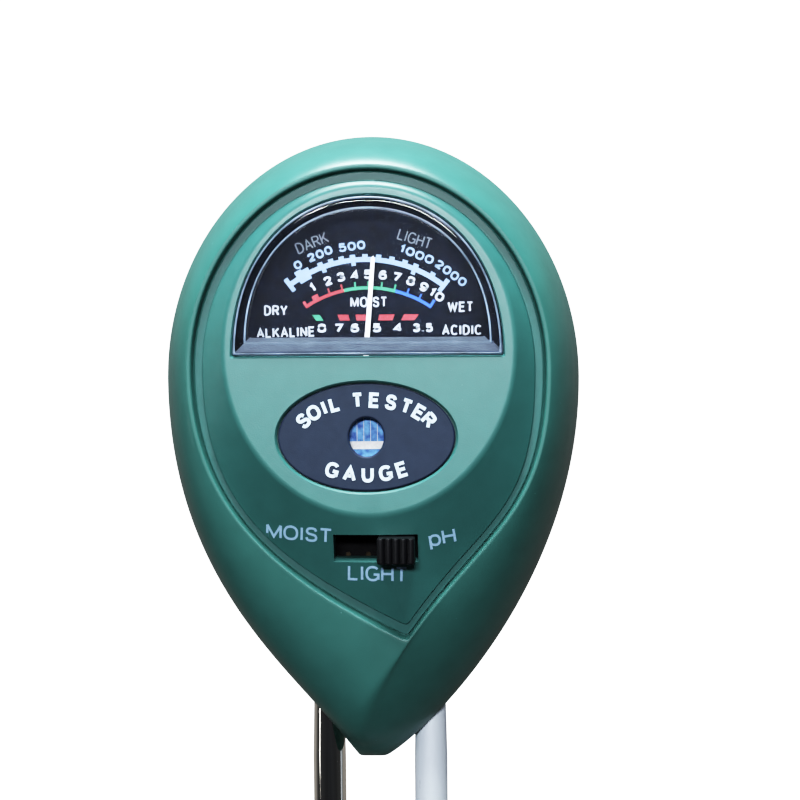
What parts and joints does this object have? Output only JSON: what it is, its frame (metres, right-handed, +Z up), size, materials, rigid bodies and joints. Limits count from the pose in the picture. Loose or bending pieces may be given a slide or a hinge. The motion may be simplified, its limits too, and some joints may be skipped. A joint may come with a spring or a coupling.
{
  "type": "soil moisture meter",
  "caption": "Drop-shaped green soil tester with an arched needle dial, an oval light-sensor badge, a three-position slide switch and long metal probes.",
  "frame": {"origin": "on the head's centre line and the plane of the probes, at the height of the head's lower tip, the highest that the soil can come", "axes": "+Z up along the probes towards the head, -Y out of the dial face, +X to the right as the dial is read"},
  "size_m": [0.062, 0.0371, 0.275],
  "materials": {
    "green_shell": "satin moulded green ABS",
    "green_rear": "satin moulded green ABS",
    "green_panel": "satin moulded green ABS with pale printed switch labels",
    "clear_cap": "clear polystyrene, polished, thick rounded rim",
    "dial_print": "dark blue-black card with printed scales",
    "badge_slate": "dark slate plate with pale raised lettering",
    "silicon_blue": "blue polycrystalline silicon with silver contact strip",
    "black_plastic": "black moulded nylon",
    "tin_plate": "tin-plated steel sheet",
    "phenolic": "brown phenolic board",
    "contact_brass": "silver-washed brass",
    "board_green": "green solder mask",
    "resistor_body": "beige lacquer with colour bands",
    "chrome_rod": "bright nickel-plated brass rod",
    "aluminium_rod": "matt drawn aluminium rod",
    "screw_steel": "zinc-plated steel",
    "frame_white": "off-white moulded plastic",
    "magnet_grey": "sintered magnet",
    "yoke_steel": "soft iron ring",
    "bridge_brass": "stamped brass",
    "copper_coil": "enamelled copper winding",
    "staff_steel": "polished steel pivots",
    "needle_white": "white lacquered aluminium strip",
    "spring_bronze": "phosphor bronze strip",
    "wire_white": "white PVC insulation",
    "wire_blue": "blue PVC insulation",
    "wire_red": "red PVC insulation",
    "wire_black": "black PVC insulation",
    "wire_yellow": "yellow PVC insulation",
    "wire_green": "green PVC insulation"
  },
  "bodies": {
    "case": {"front_shell": "green_shell", "rear_shell": "green_rear", "face_panel": "green_panel", "dial_window": "clear_cap", "dial_plate": "dial_print", "badge_plate": "badge_slate", "photocell": "silicon_blue", "cell_holder": "black_plastic", "switch_can": "tin_plate", "switch_base": "phenolic", "switch_terminals": "contact_brass", "circuit_board": "board_green", "resistors": "resistor_body", "probe_left": "chrome_rod", "probe_right": "aluminium_rod", "probe_lugs": "tin_plate", "probe_clamp": "black_plastic", "movement_frame": "frame_white", "movement_magnet": "magnet_grey", "movement_yoke": "yoke_steel", "bearing_bridge": "bridge_brass", "front_bearing": "contact_brass", "rear_bearing": "contact_brass", "case_screws": "screw_steel", "board_screws": "screw_steel", "dial_screws": "screw_steel", "movement_screws": "screw_steel", "bridge_screws": "screw_steel", "clamp_screw": "screw_steel", "wire_probe_left": "wire_white", "wire_probe_right": "wire_blue", "wire_meter_plus": "wire_red", "wire_meter_minus": "wire_black", "wire_cell_plus": "wire_yellow", "wire_cell_minus": "wire_green"},
    "switch_slider": {"switch_knob": "black_plastic", "switch_wiper": "contact_brass"},
    "needle_assembly": {"needle": "needle_white", "needle_hub": "black_plastic", "balance_weights": "contact_brass", "coil": "copper_coil", "pivot_staff": "staff_steel", "hairspring_front": "spring_bronze", "hairspring_rear": "spring_bronze"}
  },
  "joints": [
    {"name": "switch_slide", "type": "slide", "parent": "case", "child": "switch_slider", "axis": [1, 0, 0], "range_m": [-0.006, 0]},
    {"name": "needle_pivot", "type": "hinge", "parent": "case", "child": "needle_assembly", "pos_m": [-0.001, -0.0093, 0.0563], "axis": [0, 1, 0], "range_deg": [-46, 36], "stiffness_Nm_per_rad": 0.0004, "deforming": ["hairspring_front", "hairspring_rear"]}
  ]
}
